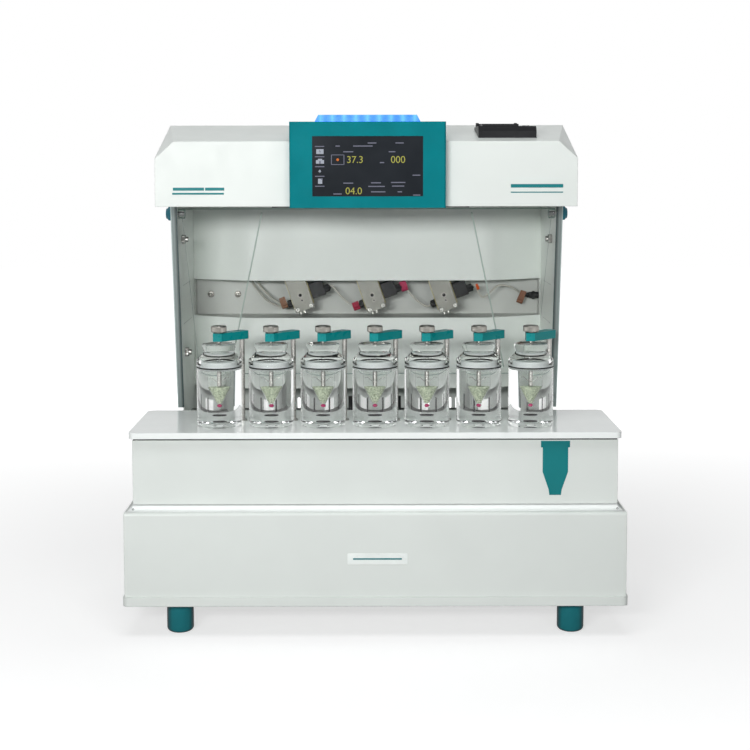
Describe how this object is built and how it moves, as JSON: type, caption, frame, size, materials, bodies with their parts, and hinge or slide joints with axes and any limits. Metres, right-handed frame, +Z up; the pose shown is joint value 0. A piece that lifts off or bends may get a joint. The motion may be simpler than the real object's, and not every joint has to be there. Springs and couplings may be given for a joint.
{
  "type": "flow-through cell dissolution tester",
  "caption": "Bench dissolution tester with clamped clear flow-through cells on a stepped base, under a hooded tower with a tilted-pump bay, a display and a printer.",
  "frame": {"origin": "on the bench, under the middle of the base", "axes": "+Z up, +X to the right of someone in front of it, +Y to its back"},
  "size_m": [0.725, 0.502, 0.7495],
  "materials": {
    "white_paint": "satin powder coat with fine orange peel",
    "deck_white": "gloss",
    "foot_plastic": "gloss",
    "teal_plastic": "satin",
    "teal_metal": "satin anodised",
    "steel": "brushed",
    "aluminium": "satin",
    "grey_metal": "satin",
    "clear_panel": "polished clear sheet",
    "clear_cell": "polished clear",
    "black_rubber": "matte",
    "black_plastic": "satin",
    "grey_plastic": "satin",
    "board": "satin",
    "beads": "frosted beads",
    "ruby": "polished",
    "tubing": "satin translucent",
    "screen": "gloss",
    "blue_light": "glowing diffuser"
  },
  "bodies": {
    "frame": {"base_plate": "white_paint", "feet": "foot_plastic", "base_shell": "white_paint", "base_rear_panel": "white_paint", "deck_gasket": "black_rubber", "cell_deck": "deck_white", "water_bath": "steel", "bath_heater": "steel", "power_supply": "aluminium", "control_board": "board", "mains_inlet": "black_plastic", "tower_walls": "white_paint", "side_panels": "clear_panel", "panel_thumb_nuts": "steel", "upper_back_panel": "white_paint", "lower_back_panel": "white_paint", "valve_bay": "grey_metal", "hose_rail": "aluminium", "rear_cover": "white_paint", "splash_guard": "clear_panel", "hood_shell": "white_paint", "hood_floor": "white_paint", "light_bar": "black_plastic", "display_housing": "teal_plastic", "display_screen": "screen", "status_light": "blue_light", "printer_body": "black_plastic", "cell_jackets": "clear_cell", "cell_heads": "clear_cell", "cell_lids": "clear_cell", "cell_seals": "black_rubber", "bead_beds": "beads", "ruby_balls": "ruby", "inlet_stubs": "clear_cell", "outlet_tubes": "steel", "clamp_posts": "steel", "pump_plates": "aluminium", "pump_heads": "black_plastic", "tube_fittings": "black_plastic", "pump_motors": "black_plastic", "flow_tubes": "tubing"},
    "rocker_switch": {"rocker_switch": "black_plastic"},
    "guard_knob_left": {"guard_knob_left": "teal_plastic"},
    "guard_knob_right": {"guard_knob_right": "teal_plastic"},
    "printer_cover": {"printer_cover": "black_plastic"},
    "printer_button": {"printer_button": "grey_plastic"},
    "clamp_arm_1": {"clamp_arm_1": "teal_metal"},
    "clamp_arm_2": {"clamp_arm_2": "teal_metal"},
    "clamp_arm_3": {"clamp_arm_3": "teal_metal"},
    "clamp_arm_4": {"clamp_arm_4": "teal_metal"},
    "clamp_arm_5": {"clamp_arm_5": "teal_metal"},
    "clamp_arm_6": {"clamp_arm_6": "teal_metal"},
    "clamp_arm_7": {"clamp_arm_7": "teal_metal"},
    "clamp_knob_1": {"clamp_knob_1": "steel"},
    "clamp_knob_2": {"clamp_knob_2": "steel"},
    "clamp_knob_3": {"clamp_knob_3": "steel"},
    "clamp_knob_4": {"clamp_knob_4": "steel"},
    "clamp_knob_5": {"clamp_knob_5": "steel"},
    "clamp_knob_6": {"clamp_knob_6": "steel"},
    "clamp_knob_7": {"clamp_knob_7": "steel"}
  },
  "joints": [
    {"name": "clamp_arm_1_swing", "type": "hinge", "parent": "frame", "child": "clamp_arm_1", "pos_m": [-0.1979, -0.14, 0.4225], "axis": [0, 0, -1], "range_deg": [0, 100]},
    {"name": "clamp_arm_2_swing", "type": "hinge", "parent": "frame", "child": "clamp_arm_2", "pos_m": [-0.1216, -0.14, 0.4225], "axis": [0, 0, -1], "range_deg": [0, 100]},
    {"name": "clamp_arm_3_swing", "type": "hinge", "parent": "frame", "child": "clamp_arm_3", "pos_m": [-0.0453, -0.14, 0.4225], "axis": [0, 0, -1], "range_deg": [0, 100]},
    {"name": "clamp_arm_4_swing", "type": "hinge", "parent": "frame", "child": "clamp_arm_4", "pos_m": [0.031, -0.14, 0.4225], "axis": [0, 0, -1], "range_deg": [0, 100]},
    {"name": "clamp_arm_5_swing", "type": "hinge", "parent": "frame", "child": "clamp_arm_5", "pos_m": [0.1073, -0.14, 0.4225], "axis": [0, 0, -1], "range_deg": [0, 100]},
    {"name": "clamp_arm_6_swing", "type": "hinge", "parent": "frame", "child": "clamp_arm_6", "pos_m": [0.1836, -0.14, 0.4225], "axis": [0, 0, -1], "range_deg": [0, 100]},
    {"name": "clamp_arm_7_swing", "type": "hinge", "parent": "frame", "child": "clamp_arm_7", "pos_m": [0.2599, -0.14, 0.4225], "axis": [0, 0, -1], "range_deg": [0, 100]},
    {"name": "clamp_knob_1_turn", "type": "hinge", "parent": "clamp_arm_1", "child": "clamp_knob_1", "pos_m": [-0.2289, -0.173, 0.4345], "axis": [0, 0, 1], "range_deg": [0, 1080]},
    {"name": "clamp_knob_2_turn", "type": "hinge", "parent": "clamp_arm_2", "child": "clamp_knob_2", "pos_m": [-0.1526, -0.173, 0.4345], "axis": [0, 0, 1], "range_deg": [0, 1080]},
    {"name": "clamp_knob_3_turn", "type": "hinge", "parent": "clamp_arm_3", "child": "clamp_knob_3", "pos_m": [-0.0763, -0.173, 0.4345], "axis": [0, 0, 1], "range_deg": [0, 1080]},
    {"name": "clamp_knob_4_turn", "type": "hinge", "parent": "clamp_arm_4", "child": "clamp_knob_4", "pos_m": [0, -0.173, 0.4345], "axis": [0, 0, 1], "range_deg": [0, 1080]},
    {"name": "clamp_knob_5_turn", "type": "hinge", "parent": "clamp_arm_5", "child": "clamp_knob_5", "pos_m": [0.0763, -0.173, 0.4345], "axis": [0, 0, 1], "range_deg": [0, 1080]},
    {"name": "clamp_knob_6_turn", "type": "hinge", "parent": "clamp_arm_6", "child": "clamp_knob_6", "pos_m": [0.1526, -0.173, 0.4345], "axis": [0, 0, 1], "range_deg": [0, 1080]},
    {"name": "clamp_knob_7_turn", "type": "hinge", "parent": "clamp_arm_7", "child": "clamp_knob_7", "pos_m": [0.2289, -0.173, 0.4345], "axis": [0, 0, 1], "range_deg": [0, 1080]},
    {"name": "guard_knob_left_turn", "type": "hinge", "parent": "frame", "child": "guard_knob_left", "pos_m": [-0.3105, -0.069, 0.606], "axis": [-1, 0, 0], "range_deg": [0, 720]},
    {"name": "guard_knob_right_turn", "type": "hinge", "parent": "frame", "child": "guard_knob_right", "pos_m": [0.2865, -0.069, 0.606], "axis": [1, 0, 0], "range_deg": [0, 720]},
    {"name": "printer_cover_open", "type": "hinge", "parent": "frame", "child": "printer_cover", "pos_m": [0.1805, -0.1265, 0.73792], "axis": [-1, 0, 0], "range_deg": [0, 75]},
    {"name": "printer_button_press", "type": "slide", "parent": "frame", "child": "printer_button", "axis": [0, 0, -1], "range_m": [0, 0.0012], "stiffness_N_per_m": 300},
    {"name": "rocker_switch_flip", "type": "hinge", "parent": "frame", "child": "rocker_switch", "pos_m": [-0.2, 0.236, 0.1225], "axis": [1, 0, 0], "range_deg": [0, 16]}
  ]
}
